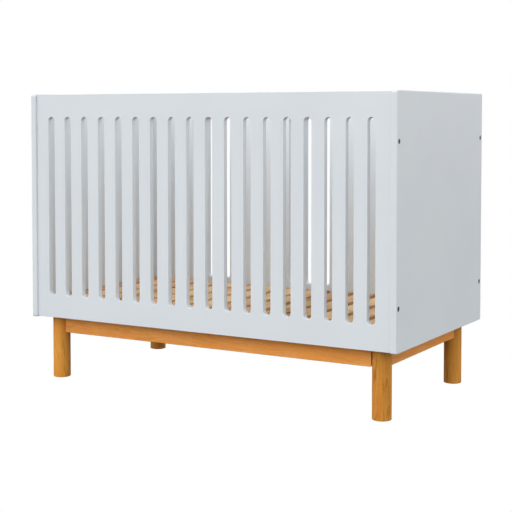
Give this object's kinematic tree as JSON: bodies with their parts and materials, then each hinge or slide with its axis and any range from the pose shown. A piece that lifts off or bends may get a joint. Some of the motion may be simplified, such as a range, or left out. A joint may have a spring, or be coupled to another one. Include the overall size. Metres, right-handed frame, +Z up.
{
  "type": "baby crib",
  "caption": "Rectangular baby crib: slotted painted board sides, plain board ends, slatted mattress base that lifts to set heights, low wooden stand on round legs.",
  "frame": {"origin": "on the floor, under the middle of the crib", "axes": "+X along the crib's length to the right end, +Y to the back, +Z up; the front is -Y"},
  "size_m": [1.244, 0.656, 0.896],
  "materials": {
    "painted_board": "satin white paint on board",
    "stand_wood": "orange-brown oiled wood",
    "base_wood": "bare planed pine",
    "dowel_wood": "bare beech",
    "dark_steel": "black zinc",
    "zinc_steel": "bright zinc",
    "glide_nylon": "matt nylon"
  },
  "bodies": {
    "crib": {"end_panel_left": "painted_board", "end_panel_right": "painted_board", "front_panel": "painted_board", "back_panel": "painted_board", "panel_bolts": "dark_steel", "barrel_nuts": "zinc_steel", "panel_dowels": "dowel_wood", "height_inserts": "zinc_steel", "support_bolts": "zinc_steel", "leg_front_left": "stand_wood", "leg_front_right": "stand_wood", "leg_back_left": "stand_wood", "leg_back_right": "stand_wood", "stand_rail_front": "stand_wood", "stand_rail_back": "stand_wood", "stand_rail_left": "stand_wood", "stand_rail_right": "stand_wood", "stand_dowels": "dowel_wood", "bracket_front_left": "zinc_steel", "bracket_front_right": "zinc_steel", "bracket_back_left": "zinc_steel", "bracket_back_right": "zinc_steel", "hanger_bolts": "zinc_steel", "hanger_nuts": "zinc_steel", "bracket_screws": "zinc_steel", "corner_plate_front_left": "zinc_steel", "corner_plate_front_right": "zinc_steel", "corner_plate_back_left": "zinc_steel", "corner_plate_back_right": "zinc_steel", "plate_bolts": "zinc_steel", "leg_inserts": "zinc_steel", "plate_screws": "zinc_steel", "glides": "glide_nylon"},
    "mattress_base": {"base_rail_front": "base_wood", "base_rail_back": "base_wood", "base_rail_left": "base_wood", "base_rail_right": "base_wood", "slat_1": "base_wood", "slat_2": "base_wood", "slat_3": "base_wood", "slat_4": "base_wood", "slat_5": "base_wood", "slat_6": "base_wood", "slat_7": "base_wood", "slat_8": "base_wood", "slat_9": "base_wood", "slat_10": "base_wood", "slat_11": "base_wood", "slat_12": "base_wood", "slat_13": "base_wood", "slat_screws": "zinc_steel", "base_corner_screws": "zinc_steel"}
  },
  "joints": [
    {"name": "base_height", "type": "slide", "parent": "crib", "child": "mattress_base", "axis": [0, 0, 1], "range_m": [0, 0.26]}
  ]
}
